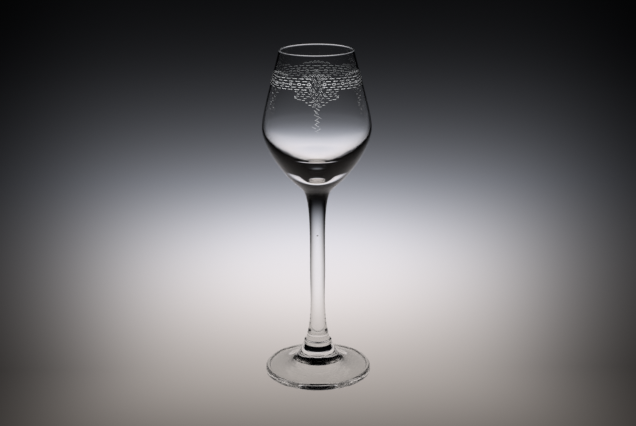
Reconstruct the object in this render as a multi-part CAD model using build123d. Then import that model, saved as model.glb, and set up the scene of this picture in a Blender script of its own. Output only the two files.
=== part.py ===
from build123d import *
import math
import os

# A stemmed cordial glass: a blown tulip bowl on a drawn stem, fused to a spun foot.
# All three pieces are turned shapes round one upright axis. The origin is the middle of the
# foot's underside, +Z is up, and every length is in millimetres.

# Heights of the three pieces, stacked from the table up
foot_height = 17.2
stem_length = 75.0
bowl_height = 67.8

# Diameters
rim_diameter = 35.1
bowl_diameter = 51.8
bowl_joint_diameter = 13.0
stem_waist_diameter = 7.4
stem_end_diameter = 11.38
foot_diameter = 52.0

# Glass thicknesses
rim_wall = 0.9
belly_wall = 0.96
bowl_base_thickness = 8.1
foot_edge_thickness = 3.09

# Details of the foot
bead_rounding_width = 1.43
bead_rounding_height = 1.03
bead_slope_width = 0.8
bead_height = 0.6
edge_slope_width = 0.15
lower_rounding_height = 0.38
lower_rounding_width = 0.18
collar_width = 1.13
collar_drop = 1.8
collar_side_height = 1.14
rest_ring_width = 1.94
underside_rise = 4.51

# Places and radii that the pieces share
bowl_joint_height = foot_height + stem_length
glass_height = bowl_joint_height + bowl_height
joint_radius = bowl_joint_diameter / 2
stem_end_radius = stem_end_diameter / 2

# The stem's flare runs on into the bowl, so both lean out from upright alike where they meet
joint_lean = 30

# Leans of an outline that runs level or upright
straight_out = 90
straight_down = 180
straight_in = 270

# A cubic curve turns a quarter circle when its pulls are this share of the radius
quarter_turn_share = 0.5523


def spot(radius, height):
    """A point of an outline, in the half plane that is turned round the axis."""
    return Vector(radius, 0, height)


def heading(lean):
    """The direction that leans this many degrees out from upright."""
    return Vector(math.sin(math.radians(lean)), 0, math.cos(math.radians(lean)))


def curve(start, start_lean, end, end_lean, pull_shares):
    """A smooth stretch of outline, whose pulls are shares of the straight way between its ends."""
    start_share, end_share = pull_shares
    reach = (end - start).length
    start_pull = start + heading(start_lean) * (reach * start_share)
    end_pull = end - heading(end_lean) * (reach * end_share)
    return Bezier(start, start_pull, end_pull, end)


def corner(start, tip, end):
    """A rounded corner from start to end, whose sharp corner would be at tip."""
    start_pull = start + (tip - start) * quarter_turn_share
    end_pull = end + (tip - end) * quarter_turn_share
    return Bezier(start, start_pull, end_pull, end)


def turned(edges):
    """The solid that a closed outline makes when it is turned round the upright axis."""
    return revolve(make_face(Wire(edges)), Axis.Z)


# Bowl: a blown tulip cup with a thin wall that thickens towards its base
belly_height_share = 0.457
haunch_height_share = 0.073
haunch_radius_share = 0.259
cavity_belly_height_share = 0.471
cavity_haunch_height_share = 0.346
cavity_haunch_radius_share = 0.609
haunch_lean = 46
cavity_haunch_lean = 236.6
rim_lean = -13.7
neck_pull_shares = (0.216, 0.341)
haunch_pull_shares = (0.257, 0.302)
belly_pull_shares = (0.187, 0.340)
cavity_top_pull_shares = (0.235, 0.204)
cavity_side_pull_shares = (0.425, 0.169)
cavity_floor_pull_shares = (0.256, 0.395)


def bowl():
    rim_radius = rim_diameter / 2
    belly_radius = bowl_diameter / 2
    cavity_radius = belly_radius - belly_wall
    lip_radius = rim_wall / 2
    lip_height = glass_height - lip_radius
    haunch_radius = joint_radius + (belly_radius - joint_radius) * haunch_radius_share
    joint = spot(joint_radius, bowl_joint_height)
    haunch = spot(haunch_radius, bowl_joint_height + bowl_height * haunch_height_share)
    belly = spot(belly_radius, bowl_joint_height + bowl_height * belly_height_share)
    lip_outside = spot(rim_radius, lip_height)
    lip_top = spot(rim_radius - lip_radius, glass_height)
    lip_inside = spot(rim_radius - rim_wall, lip_height)
    cavity_floor_height = bowl_joint_height + bowl_base_thickness
    cavity_belly_height = bowl_joint_height + bowl_height * cavity_belly_height_share
    cavity_rise = cavity_belly_height - cavity_floor_height
    cavity_haunch_height = cavity_floor_height + cavity_rise * cavity_haunch_height_share
    cavity_belly = spot(cavity_radius, cavity_belly_height)
    cavity_haunch = spot(cavity_radius * cavity_haunch_radius_share, cavity_haunch_height)
    cavity_floor = spot(0, cavity_floor_height)
    outline = [
        Line(spot(0, bowl_joint_height), joint),
        curve(joint, joint_lean, haunch, haunch_lean, neck_pull_shares),
        curve(haunch, haunch_lean, belly, 0, haunch_pull_shares),
        curve(belly, 0, lip_outside, rim_lean, belly_pull_shares),
        corner(lip_outside, spot(rim_radius, glass_height), lip_top),
        corner(lip_top, spot(rim_radius - rim_wall, glass_height), lip_inside),
        curve(lip_inside, straight_down + rim_lean, cavity_belly, straight_down, cavity_top_pull_shares),
        curve(cavity_belly, straight_down, cavity_haunch, cavity_haunch_lean, cavity_side_pull_shares),
        curve(cavity_haunch, cavity_haunch_lean, cavity_floor, straight_in, cavity_floor_pull_shares),
        Line(cavity_floor, spot(0, bowl_joint_height)),
    ]
    return turned(outline)


# Stem: a solid rod, drawn thin between its two flared ends
waist_height_share = 0.483
stem_end_lean = -14.7
lower_stem_pull_shares = (0.344, 0.35)
upper_stem_pull_shares = (0.38, 0.17)


def stem():
    waist = spot(stem_waist_diameter / 2, foot_height + stem_length * waist_height_share)
    lower_end = spot(stem_end_radius, foot_height)
    upper_end = spot(joint_radius, bowl_joint_height)
    outline = [
        Line(spot(0, foot_height), lower_end),
        curve(lower_end, stem_end_lean, waist, 0, lower_stem_pull_shares),
        curve(waist, 0, upper_end, joint_lean, upper_stem_pull_shares),
        Line(upper_end, spot(0, bowl_joint_height)),
        Line(spot(0, bowl_joint_height), spot(0, foot_height)),
    ]
    return turned(outline)


# Foot: a spun disc with a bead round its edge, that rises to the collar under the stem and is
# hollowed under its middle
skirt_height_share = 0.326
skirt_radius_share = 0.258
collar_top_lean = 158.6
collar_base_lean = 146.1
skirt_lean = 110.9
plate_lean = 96.1
bead_lean = 71.6
edge_lean = 172
hollow_lean = 275
collar_pull_shares = (0.497, 0.506)
collar_side_pull_shares = (0.408, 0.342)
skirt_pull_shares = (0.196, 0.214)
plate_pull_shares = (0.258, 0.508)
bead_pull_shares = (0.33, 0.33)
rounding_pull_shares = (0.388, 0.423)
edge_pull_shares = (0.266, 0.377)
hollow_pull_shares = (0.56, 0.311)


def foot():
    foot_radius = foot_diameter / 2
    collar_top = spot(stem_end_radius, foot_height)
    collar = spot(stem_end_radius + collar_width, foot_height - collar_drop)
    collar_base = spot(collar.X, collar.Z - collar_side_height)
    edge_upper = spot(foot_radius - edge_slope_width, foot_edge_thickness - bead_rounding_height)
    bead_top = spot(edge_upper.X - bead_rounding_width, foot_edge_thickness)
    plate_edge = spot(bead_top.X - bead_slope_width, foot_edge_thickness - bead_height)
    skirt_radius = collar.X + (foot_radius - collar.X) * skirt_radius_share
    skirt_height = plate_edge.Z + (collar_base.Z - plate_edge.Z) * skirt_height_share
    skirt = spot(skirt_radius, skirt_height)
    edge_lower = spot(foot_radius, lower_rounding_height)
    ring_outside = spot(foot_radius - lower_rounding_width, 0)
    ring_inside = spot(ring_outside.X - rest_ring_width, 0)
    hollow_top = spot(0, underside_rise)
    outline = [
        Line(hollow_top, spot(0, foot_height)),
        Line(spot(0, foot_height), collar_top),
        curve(collar_top, collar_top_lean, collar, straight_down, collar_pull_shares),
        curve(collar, straight_down, collar_base, collar_base_lean, collar_side_pull_shares),
        curve(collar_base, collar_base_lean, skirt, skirt_lean, skirt_pull_shares),
        curve(skirt, skirt_lean, plate_edge, plate_lean, plate_pull_shares),
        curve(plate_edge, bead_lean, bead_top, straight_out, bead_pull_shares),
        curve(bead_top, straight_out, edge_upper, edge_lean, rounding_pull_shares),
        curve(edge_upper, edge_lean, edge_lower, straight_down, edge_pull_shares),
        corner(edge_lower, spot(foot_radius, 0), ring_outside),
        Line(ring_outside, ring_inside),
        curve(ring_inside, hollow_lean, hollow_top, straight_in, hollow_pull_shares),
    ]
    return turned(outline)


os.makedirs("parts", exist_ok=True)
export_step(bowl(), "parts/bowl.step")
export_step(stem(), "parts/stem.step")
export_step(foot(), "parts/foot.step")
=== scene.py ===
import math
import random

import bpy
from mathutils import Matrix, Vector


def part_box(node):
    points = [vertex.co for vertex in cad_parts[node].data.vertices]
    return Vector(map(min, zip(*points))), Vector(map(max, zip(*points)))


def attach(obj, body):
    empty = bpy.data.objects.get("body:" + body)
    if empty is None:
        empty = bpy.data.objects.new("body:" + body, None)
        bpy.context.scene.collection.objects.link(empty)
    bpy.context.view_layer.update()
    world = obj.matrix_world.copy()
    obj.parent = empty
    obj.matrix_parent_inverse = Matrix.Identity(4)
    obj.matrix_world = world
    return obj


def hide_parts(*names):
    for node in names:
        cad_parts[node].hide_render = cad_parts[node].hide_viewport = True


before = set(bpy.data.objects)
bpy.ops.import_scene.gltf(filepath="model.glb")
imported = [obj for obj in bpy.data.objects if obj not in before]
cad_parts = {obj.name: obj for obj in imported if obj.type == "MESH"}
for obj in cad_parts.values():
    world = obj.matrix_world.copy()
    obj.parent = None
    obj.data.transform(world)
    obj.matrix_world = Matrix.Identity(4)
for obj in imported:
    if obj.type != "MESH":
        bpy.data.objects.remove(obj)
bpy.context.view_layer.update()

# Foot
# The real foot is a gather of clear glass, spun to a disc, with a collar that the stem stands
# in and a bead round its edge. It is fire-polished, and stands on a ring round a hollow.

_, foot_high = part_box("foot")
foot_radius = foot_high.x
foot_height = foot_high.z
foot_edge_thickness = 0.00309
bead_rounding_width = 0.00143
bead_rounding_height = 0.00103
bead_slope_width = 0.00080
bead_height = 0.00060
edge_slope_width = 0.00015
lower_rounding_height = 0.00038
lower_rounding_width = 0.00018
collar_width = 0.00113
collar_drop = 0.00180
collar_side_height = 0.00114
rest_ring_width = 0.00194
underside_rise = 0.00451
stem_end_radius = 0.00569
skirt_height_share = 0.326
skirt_radius_share = 0.258

# Leans of the foot's outline, in degrees out from upright
collar_top_lean = 158.6
collar_base_lean = 146.1
skirt_lean = 110.9
plate_lean = 96.1
bead_lean = 71.6
edge_lean = 172
hollow_lean = 275
straight_out = 90
straight_down = 180
straight_in = 270

# How far each stretch of outline pulls at its two ends, as shares of its straight way
collar_shares = (0.497, 0.506)
collar_side_shares = (0.408, 0.342)
skirt_shares = (0.196, 0.214)
plate_shares = (0.258, 0.508)
bead_shares = (0.33, 0.33)
rounding_shares = (0.388, 0.423)
edge_shares = (0.266, 0.377)
hollow_shares = (0.56, 0.311)
quarter_turn_share = 0.5523

# How many steps the turning and each stretch of outline are made of
turn_steps = 256
curve_steps = 24
corner_steps = 10
collar_steps = 14
bead_steps = 12
edge_steps = 8

# A point nearer to the axis than this lies on it, and an edge sharper than this stays sharp
on_axis = 1e-9
sharp_angle = math.radians(50)

scene = bpy.context.scene


def spot(radius, height):
    """A point of an outline, in the half plane that is turned round the axis."""
    return Vector((radius, 0, height))


def heading(lean):
    """The direction that leans this many degrees out from upright."""
    return Vector((math.sin(math.radians(lean)), 0, math.cos(math.radians(lean))))


def bent(start, start_pull, end_pull, end, steps):
    """Points along a cubic curve, without its first one."""
    points = []
    for step in range(1, steps + 1):
        done = step / steps
        left = 1 - done
        point = start * left**3 + start_pull * (3 * left * left * done)
        points.append(point + end_pull * (3 * left * done * done) + end * done**3)
    return points


def curve(start, start_lean, end, end_lean, pull_shares, steps=curve_steps):
    """A smooth stretch of outline, whose pulls are shares of the straight way between its ends."""
    reach = (end - start).length
    start_pull = start + heading(start_lean) * (reach * pull_shares[0])
    end_pull = end - heading(end_lean) * (reach * pull_shares[1])
    return bent(start, start_pull, end_pull, end, steps)


def corner(start, tip, end, steps=corner_steps):
    """A rounded corner from start to end, whose sharp corner would be at tip."""
    start_pull = start + (tip - start) * quarter_turn_share
    end_pull = end + (tip - end) * quarter_turn_share
    return bent(start, start_pull, end_pull, end, steps)


def new_piece(name, points, faces, slots, materials):
    """A smooth piece from its points and faces, and which of its materials each face takes."""
    mesh = bpy.data.meshes.new(name)
    mesh.from_pydata(points, [], faces)
    for material in materials:
        mesh.materials.append(material)
    mesh.polygons.foreach_set("material_index", slots)
    mesh.update()
    mesh.shade_smooth()
    mesh.set_sharp_from_angle(angle=sharp_angle)
    piece = bpy.data.objects.new(name, mesh)
    scene.collection.objects.link(piece)
    return piece


def turned(name, outline, materials, welds=()):
    """A piece made by turning an outline round the upright axis. Its faces look outwards where
    the outline rises, and inwards where it falls. The bands listed in welds, where two pieces
    are fused, take the second material."""
    points = []
    rings = []
    for radius, _, height in outline:
        if radius < on_axis:
            rings.append([len(points)])
            points.append((0, 0, height))
            continue
        ring = []
        for step in range(turn_steps):
            angle = 2 * math.pi * step / turn_steps
            ring.append(len(points))
            points.append((radius * math.cos(angle), radius * math.sin(angle), height))
        rings.append(ring)
    faces = []
    slots = []
    for band, (near, far) in enumerate(zip(rings, rings[1:])):
        for step in range(turn_steps):
            after = (step + 1) % turn_steps
            if len(near) == 1:
                face = (near[0], far[after], far[step])
            elif len(far) == 1:
                face = (near[step], near[after], far[0])
            else:
                face = (near[step], near[after], far[after], far[step])
            faces.append(face)
            slots.append(1 if band in welds else 0)
    return new_piece(name, points, faces, slots, materials)


# Sockets of a Mix node when it mixes colours
mix_factor = 0
mix_first = 6
mix_second = 7
mix_result = 2


class Wire:
    """An output of a material's nodes. Sums on it add Math nodes, and node() adds any other."""

    def __init__(self, tree, socket=None):
        self.tree = tree
        self.socket = socket

    def node(self, kind, settings=None, inputs=None, output=0):
        """Adds a node of this kind, with its settings made first, then its inputs set or linked."""
        node = self.tree.nodes.new("ShaderNode" + kind)
        for name, value in (settings or {}).items():
            if name == "stops":
                for element, (place, shade) in zip(node.color_ramp.elements, value):
                    element.position = place
                    element.color = (shade, shade, shade, 1)
            else:
                setattr(node, name, value)
        for name, value in (inputs or {}).items():
            if isinstance(value, Wire):
                self.tree.links.new(value.socket, node.inputs[name])
            else:
                node.inputs[name].default_value = value
        return Wire(self.tree, node.outputs[output] if node.outputs else None)

    def math(self, operation, first, second=0.0):
        return self.node("Math", {"operation": operation}, {0: first, 1: second})

    def __add__(self, other):
        return self.math("ADD", self, other)

    def __radd__(self, other):
        return self.math("ADD", other, self)

    def __sub__(self, other):
        return self.math("SUBTRACT", self, other)

    def __rsub__(self, other):
        return self.math("SUBTRACT", other, self)

    def __mul__(self, other):
        return self.math("MULTIPLY", self, other)

    def __rmul__(self, other):
        return self.math("MULTIPLY", other, self)

    def __truediv__(self, other):
        return self.math("DIVIDE", self, other)

    def __rtruediv__(self, other):
        return self.math("DIVIDE", other, self)

    def __pow__(self, other):
        return self.math("POWER", self, other)

    def along(self, axis):
        """This place's distance along the X, Y or Z axis."""
        return self.node("SeparateXYZ", inputs={"Vector": self}, output=axis)

    def blend(self, first, second):
        """A colour that goes from the first to the second as this value goes from 0 to 1."""
        inputs = {mix_factor: self, mix_first: first, mix_second: second}
        return self.node("Mix", {"data_type": "RGBA"}, inputs, mix_result)


def new_material(name):
    """An empty node material, and a wire that its first nodes are made from."""
    material = bpy.data.materials.new(name)
    material.use_nodes = True
    material.node_tree.nodes.clear()
    return material, Wire(material.node_tree)


def own_place(wire):
    """A surface point's place on its own piece."""
    return wire.node("TexCoord", output="Object")


def noise(place, scale, detail=2.0):
    """Soft random patches from 0 to 1, this many to the metre."""
    return place.node("TexNoise", inputs={"Vector": place, "Scale": scale, "Detail": detail}, output="Fac")


# Plain glass has a mirror tint of 1. This glass mirrors a fifth of that, which no real glass
# does, to come nearer to the photograph's darks.
mirror_tint = (0.2, 0.2, 0.2, 1)
glass_index = 1.52
shadow_tint = (0.93, 0.93, 0.93, 1)
relief_depth = 0.000004
smudge_scale = 90.0
smudge_detail = 4.0
smudge_roughness = 0.01
smudge_stops = ((0.56, 0), (0.78, 1))


def smudges(place):
    """Where the glass has been handled: a few faint patches, 1 in their middles."""
    patches = noise(place, smudge_scale, smudge_detail)
    return place.node("ValToRGB", {"stops": smudge_stops}, {"Fac": patches})


def clear_glass(wire, place, clean, handled, relief):
    """Clear glass, a little duller where it was handled, that lets soft light through to the floor."""
    marks = smudges(place)
    normal = wire.node("Bump", inputs={"Strength": 1.0, "Distance": relief_depth, "Height": relief})
    glass = wire.node("BsdfPrincipled", inputs={
        "Base Color": marks.blend(clean, handled),
        "Roughness": marks * smudge_roughness,
        "IOR": glass_index,
        "Transmission Weight": 1.0,
        "Specular Tint": mirror_tint,
        "Normal": normal,
    })
    see_through = wire.node("BsdfTransparent", inputs={"Color": shadow_tint})
    in_shadow = wire.node("LightPath", output="Is Shadow Ray")
    mixed = wire.node("MixShader", inputs={0: in_shadow, 1: glass, 2: see_through})
    wire.node("OutputMaterial", inputs={"Surface": mixed})


def fused_glass():
    """Where two pieces are fused there is only glass, so light goes straight through."""
    material, wire = new_material("fused_glass")
    wire.node("OutputMaterial", inputs={"Surface": wire.node("BsdfTransparent")})
    return material


foot_clean = (0.972, 0.984, 0.978, 1)
foot_handled = (0.955, 0.968, 0.960, 1)
ring_spacing = 0.0016
ring_wander = 0.0012
ring_wander_scale = 45.0


def spun_glass():
    """Foot glass: faintly green, with the fine rings that spinning leaves in it."""
    material, wire = new_material("spun_glass")
    place = own_place(wire)
    across = place.along("X")
    back = place.along("Y")
    radius = (across * across + back * back) ** 0.5
    wandering = radius + noise(place, ring_wander_scale) * ring_wander
    rings = wire.math("SINE", wandering * (2 * math.pi / ring_spacing))
    clear_glass(wire, place, foot_clean, foot_handled, rings)
    return material


# The outline is written from the collar down, and turned the other way, so that it rises
fused = fused_glass()
collar_top = spot(stem_end_radius, foot_height)
collar = spot(stem_end_radius + collar_width, foot_height - collar_drop)
collar_base = spot(collar.x, collar.z - collar_side_height)
edge_upper = spot(foot_radius - edge_slope_width, foot_edge_thickness - bead_rounding_height)
bead_top = spot(edge_upper.x - bead_rounding_width, foot_edge_thickness)
plate_edge = spot(bead_top.x - bead_slope_width, foot_edge_thickness - bead_height)
skirt_radius = collar.x + (foot_radius - collar.x) * skirt_radius_share
skirt_height = plate_edge.z + (collar_base.z - plate_edge.z) * skirt_height_share
skirt = spot(skirt_radius, skirt_height)
edge_lower = spot(foot_radius, lower_rounding_height)
ring_outside = spot(foot_radius - lower_rounding_width, 0)
ring_inside = spot(ring_outside.x - rest_ring_width, 0)
hollow_top = spot(0, underside_rise)
foot_side = [spot(0, foot_height), collar_top]
foot_side += curve(collar_top, collar_top_lean, collar, straight_down, collar_shares, collar_steps)
foot_side += curve(collar, straight_down, collar_base, collar_base_lean, collar_side_shares, collar_steps)
foot_side += curve(collar_base, collar_base_lean, skirt, skirt_lean, skirt_shares)
foot_side += curve(skirt, skirt_lean, plate_edge, plate_lean, plate_shares)
foot_side += curve(plate_edge, bead_lean, bead_top, straight_out, bead_shares, bead_steps)
foot_side += curve(bead_top, straight_out, edge_upper, edge_lean, rounding_shares, bead_steps)
foot_side += curve(edge_upper, edge_lean, edge_lower, straight_down, edge_shares, edge_steps)
foot_side += corner(edge_lower, spot(foot_radius, 0), ring_outside)
foot_side += [ring_inside]
foot_side += curve(ring_inside, hollow_lean, hollow_top, straight_in, hollow_shares)
foot_outline = foot_side[::-1]
foot = turned("spun_foot", foot_outline, [spun_glass(), fused], welds=(len(foot_outline) - 2,))
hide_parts("foot")
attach(foot, "root")

# Stem
# A solid rod of clear glass, drawn thin while hot. It flares at both ends, where it is fused
# into the collar of the foot below and to the bowl above. One tiny seed bubble is left in it.

_, stem_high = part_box("stem")
joint_radius = stem_high.x
joint_height = stem_high.z
stem_waist_radius = 0.0037
waist_height_share = 0.483
stem_end_lean = -14.7
joint_lean = 30
lower_stem_shares = (0.344, 0.35)
upper_stem_shares = (0.38, 0.17)
stem_steps = 40
stem_clean = (0.984, 0.990, 0.988, 1)
stem_handled = (0.966, 0.974, 0.970, 1)
draw_line_scale = 700.0
draw_line_stretch = (1.0, 1.0, 0.03)
seed_height = 0.0700
seed_radius = 0.0003
seed_steps = 12


def drawn_glass():
    """Stem glass, with the faint upright lines that drawing leaves."""
    material, wire = new_material("drawn_glass")
    place = own_place(wire)
    stretch = {"operation": "MULTIPLY"}
    upright = place.node("VectorMath", stretch, {0: place, 1: draw_line_stretch})
    clear_glass(wire, place, stem_clean, stem_handled, noise(upright, draw_line_scale))
    return material


waist = spot(stem_waist_radius, foot_height + (joint_height - foot_height) * waist_height_share)
lower_end = spot(stem_end_radius, foot_height)
upper_end = spot(joint_radius, joint_height)
stem_outline = [spot(0, foot_height), lower_end]
stem_outline += curve(lower_end, stem_end_lean, waist, 0, lower_stem_shares, stem_steps)
stem_outline += curve(waist, 0, upper_end, joint_lean, upper_stem_shares, stem_steps)
stem_outline += [spot(0, joint_height)]
stem = turned("drawn_stem", stem_outline, [drawn_glass(), fused], welds=(0, len(stem_outline) - 2))
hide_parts("stem")
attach(stem, "root")

# The bubble's outline falls, so that its faces look inwards, to the air in it
seed_side = []
for step in range(seed_steps + 1):
    angle = math.pi * step / seed_steps
    seed_side.append(spot(seed_radius * math.sin(angle), seed_height + seed_radius * math.cos(angle)))
seed = turned("seed_bubble", seed_side, [drawn_glass()])
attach(seed, "root")

# Bowl
# A blown tulip cup with a thin fire-polished lip, and a thick base of glass left under its
# cavity where it was gathered for the stem.

_, bowl_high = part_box("bowl")
glass_height = bowl_high.z
bowl_height = glass_height - joint_height
belly_radius = bowl_high.x
rim_radius = 0.01755
rim_wall = 0.0009
belly_wall = 0.00096
base_thickness = 0.0081
belly_height_share = 0.457
haunch_height_share = 0.073
haunch_radius_share = 0.259
cavity_belly_height_share = 0.471
cavity_haunch_height_share = 0.346
cavity_haunch_radius_share = 0.609
haunch_lean = 46
cavity_haunch_lean = 236.6
rim_lean = -13.7
rim_inner_lean = straight_down + rim_lean
joint_shares = (0.216, 0.341)
haunch_shares = (0.257, 0.302)
belly_shares = (0.187, 0.340)
cavity_top_shares = (0.235, 0.204)
cavity_side_shares = (0.425, 0.169)
cavity_floor_shares = (0.256, 0.395)
joint_steps = 16
wall_steps = 40
lip_steps = 8
bowl_clean = (0.998, 0.999, 0.999, 1)
bowl_handled = (0.975, 0.980, 0.980, 1)
wave_scale = 40.0


def blown_glass():
    """Bowl glass, with the slight waviness of blown work."""
    material, wire = new_material("blown_glass")
    place = own_place(wire)
    clear_glass(wire, place, bowl_clean, bowl_handled, noise(place, wave_scale))
    return material


lip_radius = rim_wall / 2
lip_height = glass_height - lip_radius
haunch_radius = joint_radius + (belly_radius - joint_radius) * haunch_radius_share
haunch = spot(haunch_radius, joint_height + bowl_height * haunch_height_share)
belly = spot(belly_radius, joint_height + bowl_height * belly_height_share)
lip_outside = spot(rim_radius, lip_height)
lip_top = spot(rim_radius - lip_radius, glass_height)
lip_inside = spot(rim_radius - rim_wall, lip_height)
cavity_radius = belly_radius - belly_wall
cavity_floor = spot(0, joint_height + base_thickness)
cavity_belly = spot(cavity_radius, joint_height + bowl_height * cavity_belly_height_share)
cavity_rise = cavity_belly.z - cavity_floor.z
cavity_haunch_height = cavity_floor.z + cavity_rise * cavity_haunch_height_share
cavity_haunch = spot(cavity_radius * cavity_haunch_radius_share, cavity_haunch_height)
bowl_outside = curve(upper_end, joint_lean, haunch, haunch_lean, joint_shares, joint_steps)
bowl_outside += curve(haunch, haunch_lean, belly, 0, haunch_shares, wall_steps)
bowl_outside += curve(belly, 0, lip_outside, rim_lean, belly_shares, wall_steps)
bowl_outline = [spot(0, joint_height), upper_end] + bowl_outside
bowl_outline += corner(lip_outside, spot(rim_radius, glass_height), lip_top, lip_steps)
bowl_outline += corner(lip_top, spot(rim_radius - rim_wall, glass_height), lip_inside, lip_steps)
bowl_outline += curve(
    lip_inside, rim_inner_lean, cavity_belly, straight_down, cavity_top_shares, wall_steps,
)
bowl_outline += curve(
    cavity_belly, straight_down, cavity_haunch, cavity_haunch_lean, cavity_side_shares, wall_steps,
)
bowl_outline += curve(
    cavity_haunch, cavity_haunch_lean, cavity_floor, straight_in, cavity_floor_shares, wall_steps,
)
bowl = turned("blown_bowl", bowl_outline, [blown_glass(), fused], welds=(0,))
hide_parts("bowl")
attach(bowl, "root")

# Etched lace
# Fine matt lines, etched into the outside of the bowl: rows of dashes and links right round it
# with six crowns over them, three hanging motifs of net, wings and a leafy tail, and three drops.

# Places in the lace are a sweep in degrees from the middle of a motif, and a height in
# millimetres over the foot of the band. A sixth of the way round lies between two middles.
lace_foot = 0.1446
millimetre = 0.001
motif_turn = 60
wide_motifs = (0, 2, 4)
narrow_motifs = (1, 3, 5)

# Ribbons, which have three sides, the third of them just inside the glass
ribbon_sides = 3
ribbon_underside = 2
band_width = 0.00020
crown_width = 0.00010
net_width = 0.00010
wing_width = 0.00014
tail_width = 0.00012
drop_width = 0.00010
line_proud = 0.00002
line_sink = 0.000012
line_step = 0.0005
loop_steps = 14
arch_steps = 10
cell_steps = 6
curl_steps = 8

# Band
row_heights = (5.3, 4.15, 1.6, 0.55)
row_ends = (7.5, 60.0)
dash_sweep = 6.4
dash_gap = 3.0
band_sag = 0.65
link_row = 2.85
link_rise = 0.45
link_sweep = 4.6
link_gap = 1.6

# Crown: where each arch starts and ends, the height of its ends and how far it rises
crown_arches = ((0.0, 5.0, 6.3, 0.9), (5.0, 11.5, 6.1, 0.8), (11.5, 19.5, 5.9, 0.7))
crown_drop = 0.2
ray_share = 0.5

# Net: how many marks each row has, and how unevenly they lie across and upwards
net_top = 5.3
net_pitch = 1.35
net_step = 4.4
net_counts = (4, 5, 4, 5, 4, 5, 4, 3, 2)
net_unevenness = (0.9, 0.3)
chevron_sweep = 1.4
chevron_rise = 0.45
cell_share = 0.3
net_seed = 4

# Wings: the steps of the edge from its tip inwards, and the height, start and end of each row
wing_edge = (
    (26.0, -3.2),
    (22.5, -3.8),
    (17.0, -4.0),
    (12.5, -5.0),
    (9.0, -6.0),
    (5.0, -6.7),
    (0.0, -7.2),
)
wing_rows = (
    (-0.5, 11.0, 27.0),
    (-1.4, 10.5, 25.0),
    (-2.3, 9.0, 24.0),
    (-3.2, 8.0, 19.0),
    (-4.7, 5.0, 13.0),
    (-5.5, 4.0, 9.5),
)
wing_dash = 3.6
wing_gap = 2.6
edge_overlap = 0.3
edge_share = 0.7
curl_rise = 0.5
curl_sweep = 0.8

# Tail
tail_top = -7.8
tail_bottom = -17.6
tail_count = 12
tail_spread = 3.2
tail_seed = 7
bud_sweep = 1.9
bud_rise = 0.45

# Drop
drop_top = -1.0
drop_bottom = -10.0
drop_count = 10
drop_sweep = 3.0
drop_spread = 7.0
drop_taper_share = 0.5

# Matt glass, with painted shade on the side that shows through the bowl, which is darker
matt_white = (0.86, 0.87, 0.88, 1)
matt_grey = (0.70, 0.71, 0.73, 1)
shaded_inner_white = (0.40, 0.41, 0.42, 1)
shaded_inner_grey = (0.30, 0.31, 0.32, 1)
matt_roughness = 0.72
grain_roughness = 0.2
grain_strength = 0.4
grain_scale = 2600.0
etch_scale = 900.0
etch_stops = ((0.32, 0.45), (0.62, 1.0))


def matt_glass(name, grey, white):
    """Etched glass: pale and matt, and uneven where the acid bit less deep."""
    material, wire = new_material(name)
    place = own_place(wire)
    grain = noise(place, grain_scale)
    bite = place.node("ValToRGB", {"stops": etch_stops}, {"Fac": noise(place, etch_scale)})
    relief = {"Strength": grain_strength, "Distance": line_proud, "Height": grain}
    surface = wire.node("BsdfPrincipled", inputs={
        "Base Color": grain.blend(grey, white),
        "Roughness": matt_roughness + grain * grain_roughness,
        "Alpha": bite,
        "Normal": wire.node("Bump", inputs=relief),
    })
    wire.node("OutputMaterial", inputs={"Surface": surface})
    return material


def on_bowl(sweep, height):
    """The point and the outward direction of the bowl's outside at this sweep and height."""
    for lower, upper in zip(bowl_outside, bowl_outside[1:]):
        if lower.z <= height <= upper.z:
            break
    share = (height - lower.z) / (upper.z - lower.z)
    radius = lower.x + (upper.x - lower.x) * share
    slope = (upper.x - lower.x) / (upper.z - lower.z)
    around = Vector((math.sin(sweep), -math.cos(sweep), 0))
    outward = (around - Vector((0, 0, slope))).normalized()
    return around * radius + Vector((0, 0, height)), outward


def dashes(height, start, end, sweep, gap, lead=0.0):
    """Dashes of an even row, from start to end in degrees, the first one cut short by lead."""
    row = []
    left = start - lead
    while left < end:
        right = min(left + sweep, end)
        if right - max(left, start) > gap:
            row.append([(max(left, start), height), (right, height)])
        left += sweep + gap
    return row


def loop(middle, height, half_sweep, half_rise, steps=loop_steps):
    """A closed oval round a middle."""
    oval = []
    for step in range(steps + 1):
        turn = 2 * math.pi * step / steps
        oval.append((middle + half_sweep * math.cos(turn), height + half_rise * math.sin(turn)))
    return oval


def arch(start, end, height, rise):
    """An arch that stands between two places of one height."""
    bow = []
    for step in range(arch_steps + 1):
        share = step / arch_steps
        lift = rise * math.sin(math.pi * share)
        bow.append((start + (end - start) * share, height + lift))
    return bow


def mirrored(lines):
    """The lines and their mirror images on the motif's other side."""
    both = list(lines)
    for line in lines:
        both.append([(-sweep, height) for sweep, height in line])
    return both


def band_lines():
    """The rows between two motifs, a little lower there: dashes, and one row of links."""
    lines = []
    start, end = row_ends
    for row, height in enumerate(row_heights):
        lead = (row % 2) * (dash_sweep + dash_gap) / 2
        lines += dashes(height, start, end, dash_sweep, dash_gap, lead)
    for link, (left, right) in enumerate(dashes(link_row, start, end, link_sweep, link_gap)):
        middle = (left[0] + right[0]) / 2
        lines.append([left, right] if link % 2 else loop(middle, link_row, link_sweep / 2, link_rise))
    sagging = []
    for line in mirrored(lines):
        sagging.append([(sweep, height - band_sag * (sweep / end) ** 2) for sweep, height in line])
    return sagging


def crown_lines():
    """The crown over a motif: arches on both sides, the middle ones highest, with a ray in each."""
    half = []
    for start, end, base, rise in crown_arches:
        middle = (start + end) / 2
        half.append(arch(start, end, base, rise))
        half.append([(middle, base - crown_drop), (middle, base + rise * ray_share)])
    return mirrored(half)


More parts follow.
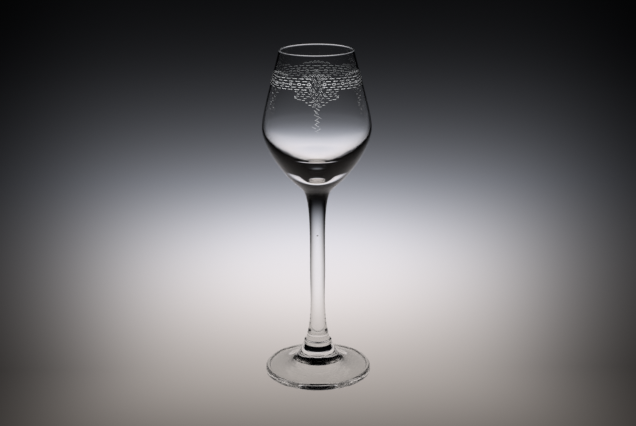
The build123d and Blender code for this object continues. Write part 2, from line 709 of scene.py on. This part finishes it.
def net_lines():
    """The net at a motif's heart: uneven rows of chevrons and small cells."""
    lines = []
    uneven = random.Random(net_seed)
    for row, count in enumerate(net_counts):
        for step in range(count):
            middle = (step - (count - 1) / 2) * net_step + uneven.uniform(-1, 1) * net_unevenness[0]
            height = net_top - row * net_pitch + uneven.uniform(-1, 1) * net_unevenness[1]
            if uneven.random() < cell_share:
                lines.append(loop(middle, height, chevron_sweep, chevron_rise, cell_steps))
                continue
            tip = uneven.choice((-chevron_rise, chevron_rise))
            left = (middle - chevron_sweep, height - tip)
            right = (middle + chevron_sweep, height - tip)
            lines.append([left, (middle, height + tip), right])
    return lines


def wing_lines():
    """The stepped wings under the band: rows of short dashes over a stepped edge with a curl."""
    tip, tip_height = wing_edge[0]
    half = [loop(tip, tip_height + curl_rise, curl_sweep, curl_rise / 2, curl_steps)]
    for (start, high), (end, _) in zip(wing_edge, wing_edge[1:]):
        reach = (end - start) * edge_share
        half.append([(start + edge_overlap, high), (start + reach, high)])
    for row, (height, start, end) in enumerate(wing_rows):
        half += dashes(height, start, end, wing_dash, wing_gap, lead=row % 2 * wing_gap)
    return mirrored(half)


def tail_lines():
    """The leafy tail under a motif: an uneven string of slanted buds and leaves."""
    lines = []
    uneven = random.Random(tail_seed)
    for bud in range(tail_count):
        side = 1 if bud % 2 == 0 else -1
        middle = side * uneven.random() * tail_spread
        height = tail_top + (tail_bottom - tail_top) * bud / (tail_count - 1)
        slant = uneven.choice((-bud_rise, bud_rise))
        lines.append([(middle - bud_sweep, height - slant), (middle + bud_sweep, height + slant)])
    return lines


def drop_lines():
    """A small drop between two wide motifs: short dashes that scatter down from the band, each
    moved aside by the sine of its squared count, which follows no row."""
    lines = []
    for step in range(drop_count):
        share = step / (drop_count - 1)
        middle = drop_spread * (1 - share * drop_taper_share) * math.sin(step * step)
        height = drop_top + (drop_bottom - drop_top) * share
        lines.append([(middle - drop_sweep / 2, height), (middle + drop_sweep / 2, height)])
    return lines


def finely_stepped(line):
    """The line with points added, so that its ribbon follows the bowl's round side."""
    path = []
    for (sweep, height), (next_sweep, next_height) in zip(line, line[1:]):
        across = math.radians(next_sweep - sweep) * belly_radius
        rise = (next_height - height) * millimetre
        steps = max(1, round(math.hypot(across, rise) / line_step))
        for step in range(steps):
            share = step / steps
            path.append((sweep + (next_sweep - sweep) * share, height + (next_height - height) * share))
    path.append(line[-1])
    return path


def add_ribbon(points, faces, slots, path, turn, width):
    """Adds one ribbon, turned to its motif, whose underside takes the second material."""
    spots = []
    for sweep, height in path:
        spots.append(on_bowl(turn + math.radians(sweep), lace_foot + height * millimetre))
    first = len(points)
    for step, (here, outward) in enumerate(spots):
        before = spots[max(step - 1, 0)][0]
        after = spots[min(step + 1, len(spots) - 1)][0]
        side = outward.cross(after - before).normalized() * (width / 2)
        points.append(here + side - outward * line_sink)
        points.append(here + outward * line_proud)
        points.append(here - side - outward * line_sink)
    for step in range(len(spots) - 1):
        near = first + ribbon_sides * step
        far = near + ribbon_sides
        for edge in range(ribbon_sides):
            next_edge = (edge + 1) % ribbon_sides
            faces.append((near + edge, far + edge, far + next_edge, near + next_edge))
            slots.append(1 if edge == ribbon_underside else 0)
    last = first + ribbon_sides * (len(spots) - 1)
    faces.append((first, first + 1, first + 2))
    faces.append((last + 2, last + 1, last))
    slots += [0, 0]


def etched(groups):
    """Ribbons along each group's lines, at each sixth that it belongs to."""
    points = []
    faces = []
    slots = []
    for lines, width, motifs in groups:
        for motif in motifs:
            turn = math.radians(motif_turn * motif)
            for line in lines:
                add_ribbon(points, faces, slots, finely_stepped(line), turn, width)
    return points, faces, slots


lace_groups = (
    (band_lines(), band_width, wide_motifs),
    (crown_lines(), crown_width, wide_motifs + narrow_motifs),
    (net_lines(), net_width, wide_motifs),
    (wing_lines(), wing_width, wide_motifs),
    (tail_lines(), tail_width, wide_motifs),
    (drop_lines(), drop_width, narrow_motifs),
)
matt_outside = matt_glass("matt_glass", matt_grey, matt_white)
# The side that shows through the bowl takes darker copies of the matt colours: painted shade
matt_inside_shaded = matt_glass("matt_glass_inside_painted_shade", shaded_inner_grey, shaded_inner_white)
lace = new_piece("etched_lace", *etched(lace_groups), [matt_outside, matt_inside_shaded])
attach(lace, "root")

# Floor and backdrop
# One sheet of paper lies under the glass and sweeps up all round it. Its colour is a painted pool of
# light behind the glass, and painted shade that fades it to black beyond, because clear glass shows
# only what stands round it.

floor_gap = 0.0001
sweep_start = 0.75
sweep_radius = 0.25
wall_height = 1.8
sheet_steps = 16

# The painted pool of light: its shade, how far behind the glass its middle lies, how far it reaches
# before it is half as pale, how fast it fades, and its width as a share of its depth
painted_pool_level = 0.80
painted_pool_behind = 0.152
painted_pool_reach = 0.1666
painted_pool_fade = 2.46
painted_pool_width_share = 0.867

# Painted shade: fades up the wall, at the two sides, which lie further out behind the glass, and in front
wall_fade = 7.0
side_reach = 0.12
side_spread = 0.25
side_fade = 6.0
front_reach = 0.105
front_fade = 2.5

# The paper is warm in front of the glass and turns cool behind it
warm_paper = (1.12, 1.00, 0.915, 1)
cool_paper = (0.965, 1.00, 1.13, 1)
tint_start = -0.08
tint_span = 0.43
# Share of the painted pool and painted shade that a looking ray sees as glow; the lamps light the rest
painted_glow_share = 0.9


def looked_at(wire):
    """1 for a ray that looks, straight from the camera or by way of the glass, and 0 for one that
    only carries light to a matt surface."""
    seen = wire.node("LightPath", output="Is Camera Ray")
    seen = seen + wire.node("LightPath", output="Is Glossy Ray")
    seen = seen + wire.node("LightPath", output="Is Transmission Ray")
    return wire.math("MINIMUM", seen, 1.0)


def backdrop_paper():
    """Paper that is lit by the lamps, and glows its colour to whoever looks at it. The colour is a
    painted pool of light that fades to painted shade.
    """
    material, wire = new_material("backdrop_paper")
    place = wire.node("NewGeometry", output="Position")
    across = place.along("X")
    back = place.along("Y")
    beside = across / painted_pool_width_share
    behind = back - painted_pool_behind
    from_painted_pool = (beside * beside + behind * behind) ** 0.5 + place.along("Z") * wall_fade
    reach_here = wire.math("MAXIMUM", side_reach + back * side_spread, side_reach)
    aside = wire.math("ABSOLUTE", across) / reach_here
    ahead = wire.math("MAXIMUM", back * -1, 0.0) / front_reach
    shade = 1 + aside ** side_fade + ahead ** front_fade
    # The painted pool of light, darkened by the painted shade up the wall, at the sides and in front
    painted_light_level = painted_pool_level / (1 + (from_painted_pool / painted_pool_reach) ** painted_pool_fade) / shade
    tint = ((back - tint_start) / tint_span).blend(warm_paper, cool_paper)
    colour = wire.node("VectorMath", {"operation": "SCALE"}, {0: tint, "Scale": painted_light_level})
    lit = wire.node("BsdfDiffuse", inputs={"Color": colour})
    painted_glow = wire.node("Emission", inputs={"Color": colour})
    mixed = wire.node("MixShader", inputs={0: looked_at(wire) * painted_glow_share, 1: lit, 2: painted_glow})
    wire.node("OutputMaterial", inputs={"Surface": mixed})
    return material


floor_edge = spot(sweep_start, -floor_gap)
wall_foot = spot(sweep_start + sweep_radius, sweep_radius - floor_gap)
sheet_outline = [spot(0, -floor_gap), floor_edge]
sheet_outline += corner(floor_edge, spot(wall_foot.x, -floor_gap), wall_foot, sheet_steps)
sheet_outline.append(spot(wall_foot.x, wall_height))
sheet = turned("backdrop", sheet_outline, [backdrop_paper()])

# Lamps
# One softbox hangs over the glass and one stands over the camera's left shoulder, in a dark room.
# They light the etched lines and, a little, the paper. The glass shows the paper, not the lamps.

softbox_size = 0.30
over_place = (0, 0.05, 0.95)
over_target = (0, 0, 0)
over_power = 1.2
front_place = (-0.08, -0.62, 0.62)
front_target = (0, 0, glass_height)
front_power = 9.3
room_level = 0.08
room_seen = 0.004


def softbox(name, place, target, power):
    """A square lamp that faces a target, and is neither seen nor mirrored in the glass."""
    lamp = bpy.data.lights.new(name, "AREA")
    lamp.size = softbox_size
    lamp.energy = power
    holder = bpy.data.objects.new(name, lamp)
    holder.location = place
    holder.rotation_euler = (Vector(target) - Vector(place)).to_track_quat("-Z", "Y").to_euler()
    holder.visible_camera = False
    holder.visible_glossy = False
    holder.visible_transmission = False
    scene.collection.objects.link(holder)


softbox("softbox_over", over_place, over_target, over_power)
softbox("softbox_front", front_place, front_target, front_power)

world = bpy.data.worlds.new("dark_room")
scene.world = world
world.use_nodes = True
world.node_tree.nodes.clear()
wire = Wire(world.node_tree)
room_strength = room_level + looked_at(wire) * (room_seen - room_level)
room = wire.node("Background", inputs={"Strength": room_strength})
wire.node("OutputWorld", inputs={"Surface": room})

# Camera
# It looks a little down on the glass from an arm's length, as the photograph does.

camera_distance = 0.5483
camera_height = 0.2485
camera_pitch = 16.976
camera_roll = -0.3
camera_shift = 0.0011
level_view = 90
focal_pixels = 1192.6
frame_pixels = 636
sensor_width = 36
light_bounces = 32

camera = bpy.data.objects.new("camera", bpy.data.cameras.new("camera"))
camera.data.sensor_width = sensor_width
camera.data.lens = focal_pixels / frame_pixels * sensor_width
camera.data.shift_x = camera_shift
camera.location = (0, -camera_distance, camera_height)
tilt = Matrix.Rotation(math.radians(level_view - camera_pitch), 3, "X")
roll = Matrix.Rotation(math.radians(camera_roll), 3, "Z")
camera.rotation_euler = (tilt @ roll).to_euler()
scene.collection.objects.link(camera)
scene.camera = camera
scene.cycles.max_bounces = light_bounces
scene.cycles.transmission_bounces = light_bounces
scene.cycles.glossy_bounces = light_bounces
scene.cycles.transparent_max_bounces = light_bounces
scene.view_settings.view_transform = "Standard"
